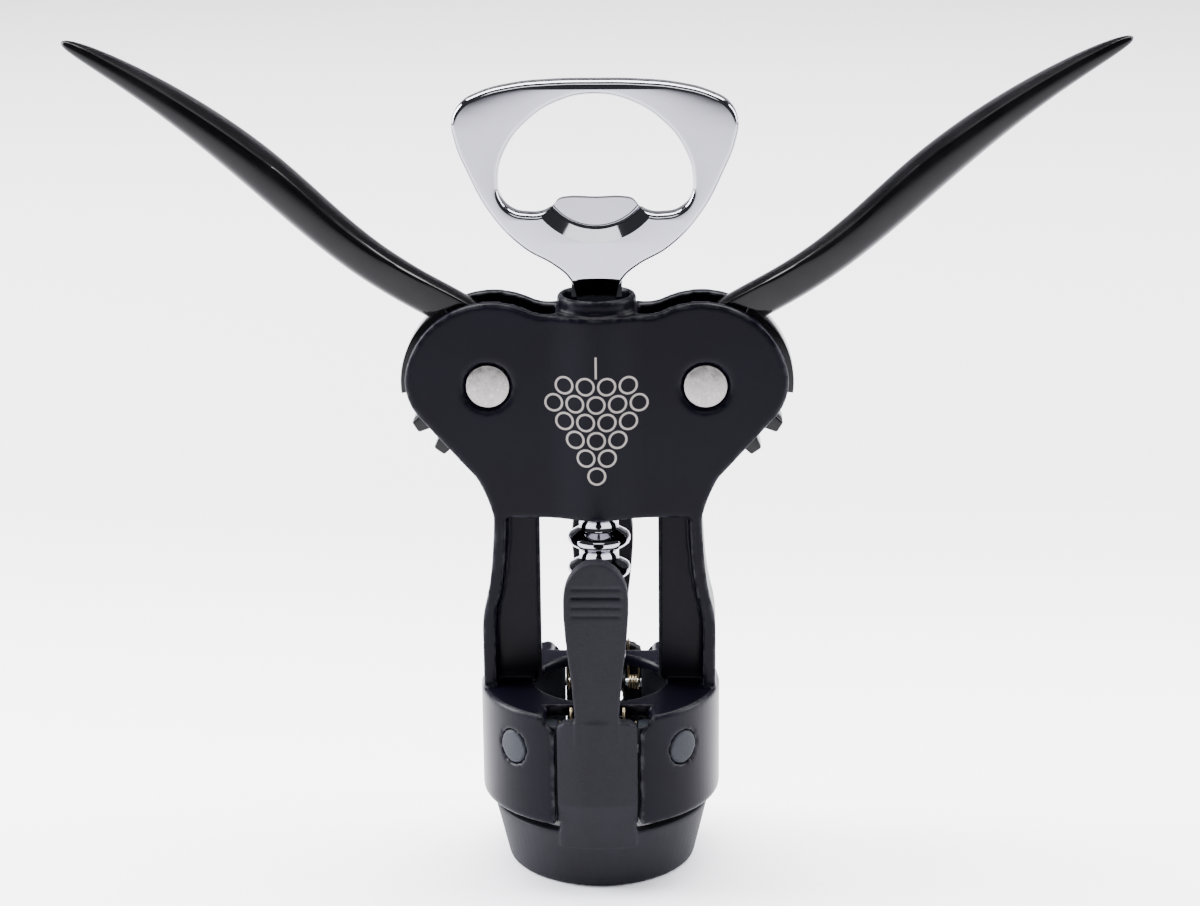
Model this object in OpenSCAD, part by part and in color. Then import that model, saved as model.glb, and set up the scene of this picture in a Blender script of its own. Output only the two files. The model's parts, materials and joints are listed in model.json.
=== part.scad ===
// Lever corkscrew with a cap-lifter handle, geared wings and a sprung bottle clamp.
// The origin is the centre of the base, +Z is up along the screw, and the wings spread along X.

/* [Bell] */
// Outside radius of the bell
bell_r = 22; // [21:0.5:26]
// Wall of the bell
bell_wall = 2; // [1.6:0.1:2.4]
// Height of the bell's lower edge above the base
bell_foot = 13.6; // [13.2:0.2:15]
// Height of the bell's flat top above the base
bell_top = 34.6; // [34:0.5:44]
// Thickness of the bell's top
bell_cap = 2.4; // [1.8:0.2:3]
// Radius of the cork bore
cork_r = 12.3; // [11.5:0.1:13]
// Half width of the bell's front and rear windows
window_half = 7.6; // [7.2:0.2:8.4]

/* [Frame] */
// Height of the wing pivots above the base
pivot_z = 91.9; // [88:0.1:112]
// Distance of each wing pivot from the screw axis
pivot_x = 19.4; // [19:0.2:21]
// Outside face of each side plate, from the middle plane
plate_face = 5.9; // [5.7:0.1:6.8]
// Thickness of each side plate
plate_t = 2.4; // [1.8:0.1:2.4]
// Radius of the plate round each pivot
hump_r = 15.6; // [14.8:0.2:17]
// Height of the plates' top edge above the pivots, at the collar
deck_rise = 13; // [12.4:0.1:14]
// Depth of the plates' straight window edge below the pivots
lintel_drop = 24.5; // [24:0.5:27]
// How far the plates' middle ridge stands proud
ridge_rise = 2.4; // [2:0.2:3]
// Width of each leg's outer wall
leg_wall = 2.3; // [1.8:0.1:3]
// How far each leg's outside face stands in from the bell's side
leg_step = 0.7; // [0.4:0.1:2]
// Inner edge of each leg's middle web
web_edge = 10.8; // [10.4:0.1:13]
// Thickness of each leg's middle web
web_t = 2.6; // [2:0.2:4]
// Radius of the collar's bore
collar_bore_r = 6.04; // [5.9:0.02:6.4]
// Wall of the collar
collar_wall = 1.05; // [0.8:0.05:1.2]
// Height of the collar above the deck
collar_rise = 2.9; // [2:0.1:4]

/* [Pivots] */
// Radius of each pivot rivet's shank
rivet_r = 3; // [2.4:0.1:3.4]
// Radius of each pivot rivet's head
rivet_head_r = 3.9; // [3.5:0.1:4.4]
// Thickness of each pivot rivet's head
rivet_head_t = 1.1; // [0.8:0.1:1.2]

/* [Rack and wings] */
// Distance from ring to ring on the rack sleeve
rack_pitch = 5.9; // [5.8:0.05:6]
// Radius of the rack's rings
ring_r = 5.7; // [5.5:0.05:5.8]
// Width of each ring at its rim
ring_rim = 1.45; // [1.2:0.05:1.6]
// Radius of the sleeve between its rings
sleeve_r = 3.6; // [3.4:0.05:3.7]
// Height of the meshed ring below the pivots
ring_drop = 0.5; // [0.3:0.1:0.9]
// Radius over the wing's gear teeth
gear_tip_r = 15.7; // [15.3:0.05:15.75]
// Radius at the root of the gear teeth
gear_root_r = 13.2; // [12.8:0.1:13.4]
// Width of each wing's hub and gear, along Y
gear_w = 6.4; // [5:0.2:6.6]
// Length of each wing from pivot to tip
wing_len = 95.8; // [80:0.2:115]
// Rise of each wing's chord above level
wing_angle = 39.5; // [34:0.5:42]
// Greatest half width of each wing, along Y
wing_half_w = 5.4; // [4.5:0.1:5.5]

/* [Screw] */
// Radius of the spindle
spindle_r = 1.95; // [1.7:0.05:2.1]
// Outside radius of the worm
worm_r = 5; // [4:0.1:6]
// Radius of the worm's wire
worm_wire_r = 1.35; // [1:0.05:1.6]
// Pitch of the worm
worm_pitch = 9; // [7.5:0.5:11]
// Height of the worm's point above the base
worm_tip_z = 0.8; // [0.5:0.1:4]
// Height of the sleeve's lower end above the bell
sleeve_rise = 18.6; // [16:0.2:19]

/* [Handle] */
// Half width of the handle at its shoulders
handle_half = 25.1; // [22:0.5:32]
// Height of the handle above its neck
handle_h = 36; // [34:0.5:44]
// Thickness of the handle
handle_t = 4.2; // [3.6:0.1:5]
// Radius of the cap-lifter hole
lifter_r = 17.1; // [15:0.1:18]
// Half width of the cap-lifter's tongue
tongue_half = 5.9; // [5:0.1:7]

/* [Clamp] */
// Radius of the clamp's opening at the base
neck_r = 15; // [14.5:0.1:15.4]
// Outside radius of the clamp at the base
skirt_foot_r = 17.45; // [17.2:0.1:18]
// How far the clamp's upper rim stands in from the bell's side
skirt_rim_step = 1.8; // [1:0.1:2.4]
// Gap between the clamp's rim and the bell's lower edge
skirt_gap = 1.8; // [1.5:0.1:3]
// Half width of each jaw's panel
panel_half = 6.9; // [6:0.1:7.1]
// Height of each thumb lever above the bell
thumb_rise = 29.5; // [22:0.5:31]
// Greatest half width of each thumb lever
thumb_half = 5.75; // [4.8:0.05:6.5]
// Thickness of each thumb lever
thumb_t = 3.1; // [2.4:0.1:3.6]
// Distance of the jaw pins from the middle plane
jaw_pin_y = 16.4; // [16.2:0.1:16.5]
// Depth of the jaw pins below the bell's top
jaw_pin_drop = 7.5; // [7:0.1:8]
// Radius of the jaw pins
jaw_pin_r = 0.8; // [0.6:0.05:0.9]
// Radius of the snap pegs
peg_r = 3.1; // [2.4:0.1:3.4]
// Radius of the jaw spring's wire
spring_wire_r = 0.25; // [0.2:0.05:0.3]

/* [Hidden] */
$fn = 96;
eps = 0.01;
// clearance of parts that turn or slide in each other, and of fixed parts set in each other
run_gap = 0.05;
set_gap = 0.02;
// clearance between moving parts that pass each other
pass_gap = 0.4;

// bell
bell_in_r = bell_r - bell_wall;
cap_z = bell_top - bell_cap;
pocket_half = window_half + 1.8;
pocket_y = cork_r + 1.8;
notch_half = window_half + 2.4;
notch_z = bell_top - 3.3;

// frame
plate_in = plate_face - plate_t;
deck_z = pivot_z + deck_rise;
lintel_z = pivot_z - lintel_drop;
collar_r = collar_bore_r + collar_wall;
collar_top = deck_z + collar_rise;
hump = [pivot_x - 0.7, pivot_z - 0.4];
fillet_r = 7;
cheek_r = hump_r - 5.5;
cheek_turn = 12;
cheek = hump + (hump_r - cheek_r) * [cos(cheek_turn), sin(cheek_turn)];
cheek_end = -40;
jaw_line = [hump[0] + 3, pivot_z - 17.1];
waist_x = hump[0] + 0.1;
wall_top = pivot_z - 18.4;
leg_depth_low = 5.1;
leg_face = bell_r - leg_step;
ridge_half = 9.5;
counterbore_r = rivet_head_r + 0.5;
counterbore_depth = rivet_head_t + 0.15;

// rack and gear
gear_teeth = 16;
gear_pitch_r = gear_teeth * rack_pitch / (2 * PI);
tooth_step = 360 / gear_teeth;
rings_above = 1;
rings_below = 6;
tooth_first = -1;
tooth_last = 6;
ring_z = pivot_z - ring_drop;
ring_flank = 0.52;
tooth_tip = 1.05;
tooth_root = 1.85;
// angles about the right-hand pivot: the meshed ring, the solid lobe and the open quarter by the collar
ring_turn = 180 + asin(ring_drop / gear_pitch_r);
lobe_start = -7;
lobe_end = wing_angle + 22;
quarter_end = ring_turn - 1.05 * tooth_step;
hub_r = gear_root_r - 3;
sleeve_bore_r = spindle_r + run_gap;
sleeve_bottom = bell_top + sleeve_rise;
sleeve_top = ring_z + rings_above * rack_pitch + 2.6;
washer_t = 0.8;
washer_r = 3.5;

// wing centre line: distance along the chord, offset above it, half thickness, half width
root_half_w = gear_w / 2 - 0.1;
wing_stations = [
    [0.06, 7.3, 2.7, root_half_w],
    [0.14, 5.8, 3.2, root_half_w],
    [0.21, 4.4, 3.2, root_half_w],
    [0.31, 3.2, 3.3, (root_half_w + wing_half_w) / 2],
    [0.42, 3.3, 3.4, wing_half_w - 0.2],
    [0.55, 4.2, 3.6, wing_half_w],
    [0.67, 4.2, 3.2, wing_half_w],
    [0.79, 3.5, 2.4, wing_half_w - 0.8],
    [0.89, 2.2, 1.8, wing_half_w - 2.2],
    [0.96, 0.9, 1.2, 1.7],
    [1.00, 0.0, 0.4, 0.5]];
wing_sides = 20;
wing_steps = 4;
wing_len_drawn = 95.8;

// screw
spindle_flange_r = 4.2;
spindle_flange_t = 4;
flange_top = sleeve_bottom - washer_t - 2 * run_gap;
flange_bottom = flange_top - spindle_flange_t;
handle_foot = sleeve_top + washer_t + 2 * run_gap;
tenon_r = 1.3;
tenon_h = 5;
worm_top = flange_bottom + 2;
worm_mean_r = worm_r - worm_wire_r;
worm_sides = 8;
worm_step = 24;

// handle
neck_z = collar_top + 2.2;
handle_top = neck_z + handle_h;
shoulder_r = 4.5;
shoulder_z = handle_top - 7.6;
stem_r = 3.1;
stem_half = 3.3;
lifter_z = handle_top - 2.4 - lifter_r;
lifter_floor = lifter_z - 4.1;
tongue_rise = 2.6;
handle_pin_r = 0.6;
handle_pin_z = handle_foot + 2.2;

// clamp
skirt_top = bell_foot - skirt_gap;
skirt_rim_r = bell_r - skirt_rim_step;
skirt_wall = 2.5;
skirt_round = 1.2;
split_gap = 0.5;
panel_r = bell_r - 0.4;
panel_in_r = bell_in_r - 0.6;
panel_top = bell_top - 0.7;
panel_corner = 1.8;
jaw_pin_z = bell_top - jaw_pin_drop;
knuckle_r = jaw_pin_y - neck_r + 0.2;
knuckle_half = 4.3;
jaw_pin_half = panel_half + 2.6;
thumb_face = panel_r - 0.2;
thumb_foot = bell_top - 5;
thumb_root_half = thumb_half * 0.67;
thumb_top = bell_top + thumb_rise;
grip_grooves = 4;
grip_pitch = 1.7;
grip_depth = 0.5;
grip_drop = 4.8;
carrier_r = bell_in_r - 0.1;
carrier_in_r = neck_r + 1.2;
carrier_top = cap_z - 0.3;
carrier_h = carrier_top - bell_foot - 0.4;
carrier_edge = panel_half + pass_gap;
spring_mean_r = 1.25;
spring_turns = 4;
spring_in_x = knuckle_half + 0.45;
spring_out_x = carrier_edge - spring_wire_r - 0.15;
spring_leg = 8.6;

// ---------- helper curves ----------

function arc(c, r, a0, a1, n) = [for (i = [0:n]) c + r * [cos(a0 + (a1 - a0) * i / n), sin(a0 + (a1 - a0) * i / n)]];
function bend(a, b, c, n) = [for (i = [0:n]) let (t = i / n) (1 - t) * (1 - t) * a + 2 * t * (1 - t) * b + t * t * c];
function flip(points) = [for (i = [len(points) - 1:-1:0]) [-points[i][0], points[i][1]]];
function both_sides(points) = concat(points, flip(points));
function shift(points, d) = [for (p = points) p + d];
function back(points) = [for (i = [len(points) - 1:-1:0]) points[i]];

// smooth value at t along a list of rows, row 0 at t = 0 and the last row at t = 1
function row(rows, i) = rows[max(0, min(len(rows) - 1, i))];
function spline(rows, t) = let (s = t * (len(rows) - 1), i = min(floor(s), len(rows) - 2), u = s - i,
    a = row(rows, i - 1), b = row(rows, i), c = row(rows, i + 1), d = row(rows, i + 2))
    0.5 * (2 * b + (c - a) * u + (2 * a - 5 * b + 4 * c - d) * u * u + (3 * b - a - 3 * c + d) * u * u * u);

// closed skin over rings of points that all have the same count
module loft(rings) {
    n = len(rings[0]);
    m = len(rings);
    polyhedron(
        points = [for (r = rings) each r],
        faces = concat(
            [for (j = [0:m - 2]) for (i = [0:n - 1])
                each [[j * n + i, (j + 1) * n + i, (j + 1) * n + (i + 1) % n],
                      [j * n + i, (j + 1) * n + (i + 1) % n, j * n + (i + 1) % n]]],
            [[for (i = [0:n - 1]) i]],
            [[for (i = [n - 1:-1:0]) (m - 1) * n + i]]),
        convexity = 8);
}

function unit(v) = v / norm(v);
function tangent(path, i) = unit(path[min(i + 1, len(path) - 1)] - path[max(i - 1, 0)]);
// ring of a round tube of radius r round point i of a path; ref is never along the path
function tube_ring(path, i, r, sides, ref) = let (t = tangent(path, i), u = unit(cross(ref, t)), v = cross(t, u))
    [for (k = [0:sides - 1]) path[i] + r * (cos(360 * k / sides) * u + sin(360 * k / sides) * v)];

// solid between y0 and y1 from an outline drawn in X and Z
module slab(y0, y1) {
    translate([0, y1, 0]) rotate([90, 0, 0]) linear_extrude(y1 - y0) children();
}

// cylinder along Y, or along X, at a place in the other two directions
module along_y(r, y0, y1, at) {
    translate([at[0], y1, at[1]]) rotate([90, 0, 0]) cylinder(r = r, h = y1 - y0);
}
module along_x(r, x0, x1, at) {
    translate([x0, at[0], at[1]]) rotate([0, 90, 0]) cylinder(r = r, h = x1 - x0);
}

module front_and_rear() {
    children();
    rotate([0, 0, 180]) children();
}

module left_and_right() {
    children();
    mirror([1, 0, 0]) children();
}

// ---------- frame ----------

fillet_x = hump[0] - sqrt(pow(hump_r + fillet_r, 2) - pow(deck_z + fillet_r - hump[1], 2));
fillet_turn = atan2(deck_z + fillet_r - hump[1], fillet_x - hump[0]);
leg_out = concat(
    bend(jaw_line, [waist_x + 0.9, pivot_z - 20.6], [waist_x, lintel_z], 8),
    bend([waist_x, lintel_z - 0.5], [waist_x + 0.4, lintel_z - 12], [leg_face - 0.6, lintel_z - 17], 8),
    bend([leg_face - 0.5, lintel_z - 17.4], [leg_face, lintel_z - 19.5], [leg_face, lintel_z - 23], 6),
    [[leg_face, bell_top - eps]]);

module plate_outline() {
    right = concat(
        arc([fillet_x, deck_z + fillet_r], fillet_r, 270, fillet_turn + 180, 8),
        arc(hump, hump_r, fillet_turn - 3, cheek_turn + 2, 24),
        arc(cheek, cheek_r, cheek_turn, cheek_end, 10),
        bend(jaw_line, [waist_x + 0.9, pivot_z - 20.6], [waist_x, lintel_z], 8));
    polygon(both_sides(right));
}

module leg_outline() {
    polygon(concat(leg_out, back(shift(leg_out, [-leg_wall, 0]))));
}

module plate() {
    slab(-plate_face, -plate_in) plate_outline();
    // middle ridge
    translate([0, 0, lintel_z])
        linear_extrude(deck_z - lintel_z)
            polygon(concat([[-ridge_half, -plate_face + eps]],
                [for (i = [-9:9]) [ridge_half * i / 9, -plate_face - ridge_rise * (1 + cos(20 * i)) / 2]],
                [[ridge_half, -plate_face + eps]]));
}

module legs() {
    // outer walls, deep at the plates and shallow on the bell
    intersection() {
        slab(-plate_face, plate_face) left_and_right_2d() leg_outline();
        rotate([90, 0, 90]) translate([0, 0, -bell_r]) linear_extrude(2 * bell_r)
            polygon(both_sides([[leg_depth_low, bell_top - 1], [leg_depth_low, bell_top + 6],
                [plate_face, lintel_z - 6], [plate_face, wall_top]]));
    }
    left_and_right() slab(-web_t / 2, web_t / 2)
        polygon([[web_edge, bell_top - eps], [web_edge, wall_top - 4], [web_edge + 4, wall_top],
            [waist_x, wall_top], [waist_x, lintel_z], [leg_face - leg_wall / 2, lintel_z - 20],
            [leg_face - leg_wall / 2, bell_top - eps]]);
}

module left_and_right_2d() {
    children();
    mirror([1, 0]) children();
}

module bell() {
    difference() {
        rotate_extrude() polygon(concat(
            [[bell_in_r, cap_z], [bell_in_r, bell_foot + 0.4], [bell_in_r + 0.4, bell_foot]],
            arc([bell_r - 0.8, bell_foot + 0.8], 0.8, -90, 0, 5),
            arc([bell_r - 0.6, bell_top - 0.6], 0.6, 0, 90, 4),
            [[cork_r + 0.4, bell_top], [cork_r, bell_top - 0.4], [cork_r, cap_z]]));
        front_and_rear() {
            // window, its splayed top corners and the pocket behind the thumb lever
            translate([-window_half, -bell_r - 1, bell_foot - 1])
                cube([2 * window_half, bell_r + 3 - jaw_pin_y, bell_top - bell_foot - bell_cap + 0.6]);
            slab(-bell_r - 1, -pocket_y)
                polygon([[-notch_half - 0.5, bell_top + 0.5], [notch_half + 0.5, bell_top + 0.5],
                    [window_half, notch_z], [-window_half, notch_z]]);
            translate([-pocket_half, -bell_r + bell_wall + 0.6, cap_z - 1])
                cube([2 * pocket_half, bell_r - bell_wall - 0.6 - pocket_y, bell_cap + 2]);
        }
        for (a = [45:90:315]) rotate([0, 0, a])
            along_x(peg_r + 0.1, bell_in_r - 1, bell_r + 1, [0, jaw_pin_z]);
    }
}

module collar() {
    difference() {
        union() {
            translate([0, 0, deck_z - 2]) rotate_extrude() polygon([[0, 0], [collar_r, 0],
                [collar_r, 2 + collar_rise - 0.5], [collar_r - 0.5, 2 + collar_rise], [0, 2 + collar_rise]]);
            translate([-collar_r - 0.3, -plate_in - eps, deck_z - 2])
                cube([2 * collar_r + 0.6, 2 * plate_in + 2 * eps, 2]);
        }
        translate([0, 0, deck_z - 3]) cylinder(r = collar_bore_r, h = collar_rise + 4);
        // room for the gear teeth to pass
        left_and_right() along_y(gear_tip_r + pass_gap, -gear_w / 2 - pass_gap, gear_w / 2 + pass_gap,
            [pivot_x, pivot_z]);
    }
}

module frame() {
    color([0.13, 0.13, 0.15]) {
        difference() {
            union() {
                front_and_rear() plate();
                legs();
            }
            // rivet holes with their counterbores
            left_and_right() {
                along_y(rivet_r + set_gap, -plate_face - ridge_rise - 1, plate_face + ridge_rise + 1,
                    [pivot_x, pivot_z]);
                front_and_rear() along_y(counterbore_r, -plate_face - ridge_rise - 1,
                    -plate_face + counterbore_depth, [pivot_x, pivot_z]);
            }
            // room for the rack's rings
            translate([0, 0, lintel_z - 2])
                cylinder(r = collar_bore_r + 0.2, h = deck_z - lintel_z);
            translate([0, 0, lintel_z])
                cylinder(r = collar_bore_r, h = deck_z - lintel_z + 1);
        }
        bell();
        collar();
    }
}

module pivot_rivet() {
    color([0.78, 0.77, 0.74]) {
        along_y(rivet_r, -plate_face, plate_face, [pivot_x, pivot_z]);
        front_and_rear_at(pivot_x) translate([0, -plate_face + counterbore_depth, 0]) rotate([90, 0, 0])
            rotate_extrude() polygon(concat([[0, 0], [rivet_head_r, 0]],
                arc([rivet_head_r - 0.4, rivet_head_t - 0.4], 0.4, 0, 90, 4), [[0, rivet_head_t]]));
    }
}

module front_and_rear_at(x) {
    translate([x, 0, pivot_z]) front_and_rear() children();
}

// ---------- rack and wings ----------

function ring_profile(z) = let (h = ring_rim / 2, f = (ring_r - sleeve_r) * ring_flank, e = 0.25)
    [[sleeve_r, z - h - f], [ring_r - e, z - h - e * ring_flank], [ring_r, z - h + e],
     [ring_r, z + h - e], [ring_r - e, z + h + e * ring_flank], [sleeve_r, z + h + f]];

module rack_sleeve() {
    color([0.75, 0.76, 0.78]) rotate_extrude() polygon(concat(
        [[sleeve_bore_r, sleeve_top], [sleeve_bore_r, sleeve_bottom], [sleeve_r, sleeve_bottom]],
        [for (i = [-rings_below:rings_above]) each ring_profile(ring_z + i * rack_pitch)],
        [[sleeve_r, sleeve_top]]));
}

// right-hand gear and lobe about the pivot, drawn in X and Z
module gear_outline() {
    difference() {
        union() {
            circle(r = gear_root_r);
            for (i = [tooth_first:tooth_last]) rotate(ring_turn + (i + 0.5) * tooth_step)
                polygon([[0, -tooth_root], [gear_root_r, -tooth_root], [gear_tip_r - 0.5, -tooth_tip],
                    [gear_tip_r, -tooth_tip + 0.35], [gear_tip_r, tooth_tip - 0.35],
                    [gear_tip_r - 0.5, tooth_tip], [gear_root_r, tooth_root], [0, tooth_root]]);
            polygon([[0, 0], each arc([0, 0], gear_tip_r, lobe_start, lobe_end, 20)]);
        }
        difference() {
            polygon([[0, 0], each arc([0, 0], 2 * gear_tip_r, lobe_end, quarter_end, 6)]);
            circle(r = hub_r);
        }
    }
}

function wing_at(t) = let (s = spline(wing_stations, t)) [s[0] * wing_len, s[1] * wing_len / wing_len_drawn, s[2], s[3]];
function wing_ring(t) = let (w = wing_at(t), a = wing_at(max(0, t - 0.01)), b = wing_at(min(1, t + 0.01)),
    d = unit([b[0] - a[0], b[1] - a[1]]))
    [for (k = [0:wing_sides - 1]) let (g = 360 * k / wing_sides,
        // blunt sides, a crowned top and a flatter underside
        side = w[3] * sign(cos(g)) * pow(abs(cos(g)), 0.55),
        up = w[2] * sign(sin(g)) * pow(abs(sin(g)), sin(g) > 0 ? 0.85 : 0.6))
        [w[0] - up * d[1], side, w[1] + up * d[0]]];

module wing_right() {
    color([0.07, 0.07, 0.08]) translate([pivot_x, 0, pivot_z]) difference() {
        union() {
            slab(-gear_w / 2, gear_w / 2) gear_outline();
            rotate([0, -wing_angle, 0])
                loft([for (i = [0:(len(wing_stations) - 1) * wing_steps])
                    wing_ring(i / (len(wing_stations) - 1) / wing_steps)]);
        }
        along_y(rivet_r + run_gap, -gear_w, gear_w, [0, 0]);
    }
}

module wing_left() {
    mirror([1, 0, 0]) wing_right();
}

// ---------- screw ----------

module washer(z) {
    color([0.72, 0.58, 0.33]) translate([0, 0, z]) difference() {
        cylinder(r = washer_r, h = washer_t);
        translate([0, 0, -1]) cylinder(r = spindle_r + set_gap, h = washer_t + 2);
    }
}

module upper_washer() {
    washer(sleeve_top + run_gap);
}

module lower_washer() {
    washer(flange_top);
}

module spindle() {
    color([0.72, 0.73, 0.75]) difference() {
        rotate_extrude() polygon([[0, flange_bottom], [spindle_flange_r - 0.4, flange_bottom],
            [spindle_flange_r, flange_bottom + 0.4], [spindle_flange_r, flange_top - 0.4],
            [spindle_flange_r - 0.4, flange_top], [spindle_r, flange_top], [spindle_r, handle_foot],
            [tenon_r, handle_foot], [tenon_r, handle_foot + tenon_h], [0, handle_foot + tenon_h]]);
        // seat of the worm's straight end, and the cross hole of the handle pin
        translate([0, 0, flange_bottom - 1]) cylinder(r = worm_wire_r + set_gap, h = 1 + spindle_flange_t / 2);
        along_x(handle_pin_r + set_gap, -stem_r, stem_r, [0, handle_pin_z]);
    }
}

// the worm's centre line: a helix that runs in to the axis at its top
worm_turns = (flange_bottom - 1.5 - worm_tip_z) / worm_pitch;
worm_count = floor(worm_turns * 360 / worm_step);
function worm_radius(z) = worm_mean_r * min(1, max(0, (flange_bottom - z) / 6));
function worm_point(i) = let (a = i * worm_step - 90, z = worm_tip_z + i * worm_step / 360 * worm_pitch)
    [worm_radius(z) * cos(a), worm_radius(z) * sin(a), z];
worm_path = concat([for (i = [0:worm_count]) worm_point(i)], [[0, 0, flange_bottom - 0.4], [0, 0, worm_top - 0.1]]);
// turn of the rings on the straight end, in step with the last ring of the helix
worm_end_turn = (worm_count - 1) * worm_step + 180;
function worm_wire(i) = worm_wire_r * min(1, 0.12 + 0.88 * i / 12);

module worm() {
    color([0.76, 0.77, 0.79])
        loft([for (i = [0:len(worm_path) - 1]) i < len(worm_path) - 2
            ? tube_ring(worm_path, i, worm_wire(i), worm_sides, [0, 0.02, 1])
            : [for (k = [0:worm_sides - 1]) let (a = worm_end_turn + 360 * k / worm_sides)
                worm_path[i] + worm_wire_r * [cos(a), sin(a), 0]]]);
}

// ---------- handle ----------

module handle_outline() {
    shoulder = [handle_half - shoulder_r, shoulder_z];
    right = concat(
        bend([0, handle_top], [handle_half * 0.58, handle_top - 0.1],
            shoulder + shoulder_r * [cos(64), sin(64)], 8),
        arc(shoulder, shoulder_r, 58, -14, 8),
        bend(shoulder + shoulder_r * [cos(-19), sin(-19)], [handle_half * 0.72, neck_z + 8.9],
            [6.6, neck_z + 2.2], 12),
        bend([6.1, neck_z + 1.9], [4.3, neck_z + 0.8], [stem_half + 0.5, neck_z - 2.2], 6),
        [[stem_half, handle_foot + 0.8], [stem_half - 0.8, handle_foot]]);
    polygon(both_sides(right));
}

module lifter_outline() {
    corner_r = 4.4;
    corner = [lifter_r - corner_r - 0.8, lifter_floor + corner_r];
    right = concat(
        arc([0, lifter_z], lifter_r, 90, 0, 20),
        arc(corner, corner_r, -12, -90, 8),
        bend([tongue_half + 4.4, lifter_floor], [tongue_half + 2.3, lifter_floor + 0.3],
            [tongue_half, lifter_floor + tongue_rise], 6));
    polygon(both_sides(right));
}

module handle() {
    color([0.78, 0.79, 0.81]) difference() {
        union() {
            slab(-handle_t / 2, handle_t / 2) handle_outline();
            translate([0, 0, handle_foot]) cylinder(r = stem_r, h = 2.6);
        }
        slab(-handle_t, handle_t) lifter_outline();
        // hollows that thin the tongue on both faces
        front_and_rear() slab(-handle_t, -handle_t / 2 + 1.1) intersection() {
            translate([0, lifter_floor + 3.8]) circle(r = 8.4);
            translate([-tongue_half - 1.2, lifter_floor - 6]) square([2 * tongue_half + 2.4, 9]);
        }
        // socket of the spindle's tenon and its cross hole
        translate([0, 0, handle_foot - 1]) cylinder(r = tenon_r + set_gap, h = tenon_h + 1 + set_gap);
        along_x(handle_pin_r + set_gap, -stem_r - 1, stem_r + 1, [0, handle_pin_z]);
    }
}

module handle_pin() {
    color([0.6, 0.6, 0.62]) along_x(handle_pin_r, -stem_r + 0.1, stem_r - 0.1, [0, handle_pin_z]);
}

// ---------- clamp ----------

module skirt_half() {
    wall_in = skirt_rim_r - skirt_wall;
    intersection() {
        rotate_extrude() polygon(concat(
            [[wall_in, skirt_top], [neck_r + 0.2, 2.6], [neck_r, 0.3], [neck_r + 0.3, 0]],
            arc([skirt_foot_r - skirt_round, skirt_round], skirt_round, -90, -14, 6),
            [[skirt_rim_r - 0.3, skirt_top - 0.4], [skirt_rim_r - 0.5, skirt_top]]));
        translate([-bell_r, -bell_r - split_gap, -1]) cube([2 * bell_r, bell_r, skirt_top + 2]);
    }
}

module jaw_panel() {
    intersection() {
        rotate_extrude() polygon([[skirt_rim_r - skirt_wall - 0.6, skirt_top - 3], [skirt_rim_r - 0.72, skirt_top - 3],
            [skirt_rim_r, skirt_top], [panel_r, skirt_top + 6], [panel_r, panel_top], [panel_in_r, panel_top],
            [panel_in_r, skirt_top + 3], [skirt_rim_r - skirt_wall, skirt_top + 0.4]]);
        slab(-bell_r, -jaw_pin_y) polygon(both_sides(concat(
            [[0, panel_top]], arc([panel_half - panel_corner, panel_top - panel_corner], panel_corner, 90, 0, 6),
            [[panel_half, skirt_top - 3]])));
    }
}

module thumb_lever() {
    waist_z = bell_top + thumb_rise * 0.3;
    wide_z = thumb_top - thumb_half * 1.2;
    difference() {
        slab(-thumb_face, -thumb_face + thumb_t) polygon(both_sides(concat(
            [for (i = [0:8]) [thumb_half * sin(11.25 * i), wide_z + thumb_half * 1.2 * cos(11.25 * i)]],
            bend([thumb_half, wide_z - 3], [thumb_half - 0.3, waist_z + 5], [thumb_root_half + 0.7, waist_z - 1], 6),
            [[thumb_root_half, bell_top - 1], [thumb_root_half, thumb_foot]])));
        for (i = [0:grip_grooves - 1])
            translate([-thumb_half + 1.2, -thumb_face - 1, thumb_top - grip_drop - i * grip_pitch - 0.3])
                cube([2 * thumb_half - 2.4, 1 + grip_depth, 0.6]);
    }
}

module jaw() {
    color([0.23, 0.24, 0.26]) difference() {
        union() {
            skirt_half();
            jaw_panel();
            thumb_lever();
            along_x(knuckle_r, -knuckle_half, knuckle_half, [-jaw_pin_y, jaw_pin_z]);
            translate([-knuckle_half, -panel_in_r - 0.6, jaw_pin_z - knuckle_r])
                cube([2 * knuckle_half, panel_in_r + 0.6 - jaw_pin_y, 2 * knuckle_r]);
        }
        along_x(jaw_pin_r + run_gap, -bell_r, bell_r, [-jaw_pin_y, jaw_pin_z]);
    }
}

module jaw_front() {
    jaw();
}

module jaw_rear() {
    rotate([0, 0, 180]) jaw();
}

module jaw_pin() {
    color([0.7, 0.7, 0.72]) along_x(jaw_pin_r, -jaw_pin_half, jaw_pin_half, [-jaw_pin_y, jaw_pin_z]);
}

module jaw_pin_front() {
    jaw_pin();
}

module jaw_pin_rear() {
    rotate([0, 0, 180]) jaw_pin();
}

module jaw_carrier_right() {
    color([0.36, 0.38, 0.42]) {
        difference() {
            intersection() {
                translate([0, 0, carrier_top - carrier_h]) difference() {
                    cylinder(r = carrier_r, h = carrier_h);
                    translate([0, 0, -1]) cylinder(r = carrier_in_r, h = carrier_h + 2);
                }
                translate([carrier_edge, -bell_r, 0]) cube([bell_r, 2 * bell_r, bell_top]);
            }
            front_and_rear() along_x(jaw_pin_r + set_gap, -jaw_pin_half - 0.1, jaw_pin_half + 0.1,
                [-jaw_pin_y, jaw_pin_z]);
        }
        intersection() {
            for (a = [-45, 45]) rotate([0, 0, a])
                along_x(peg_r, (carrier_r + carrier_in_r) / 2, bell_r + 2, [0, jaw_pin_z]);
            cylinder(r = bell_r, h = bell_top);
        }
    }
}

module jaw_carrier_left() {
    rotate([0, 0, 180]) jaw_carrier_right();
}

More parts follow.
